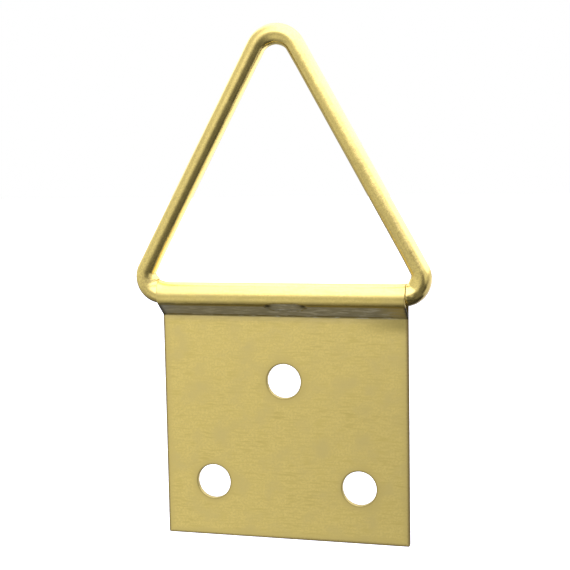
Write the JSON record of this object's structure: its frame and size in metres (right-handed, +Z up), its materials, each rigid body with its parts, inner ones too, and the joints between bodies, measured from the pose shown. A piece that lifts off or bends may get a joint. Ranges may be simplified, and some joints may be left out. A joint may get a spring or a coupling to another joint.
{
  "type": "triangle picture hanger",
  "caption": "Triangular wire ring that swings in the fold of a flat screw-on plate, for hanging a picture frame on a hook, nail or cord.",
  "frame": {"origin": "middle of the screw pattern on the plate's back face, the face that lies on the picture frame", "axes": "+Z up along the plate towards the ring's top, +Y out of the back face into the picture frame, +X along the hinge axis to the right as seen from the front"},
  "size_m": [0.0358, 0.003, 0.0612],
  "materials": {
    "plate_brass": "satin rolled sheet, brass finish",
    "ring_brass": "smooth drawn wire, brighter brass finish"
  },
  "bodies": {
    "plate": {"hanger_plate": "plate_brass"},
    "ring": {"triangle_ring": "ring_brass"}
  },
  "joints": [
    {"name": "ring_swing", "type": "hinge", "parent": "plate", "child": "ring", "pos_m": [0, -0.00147, 0.0188], "axis": [1, 0, 0], "range_deg": [-148, 176]}
  ]
}
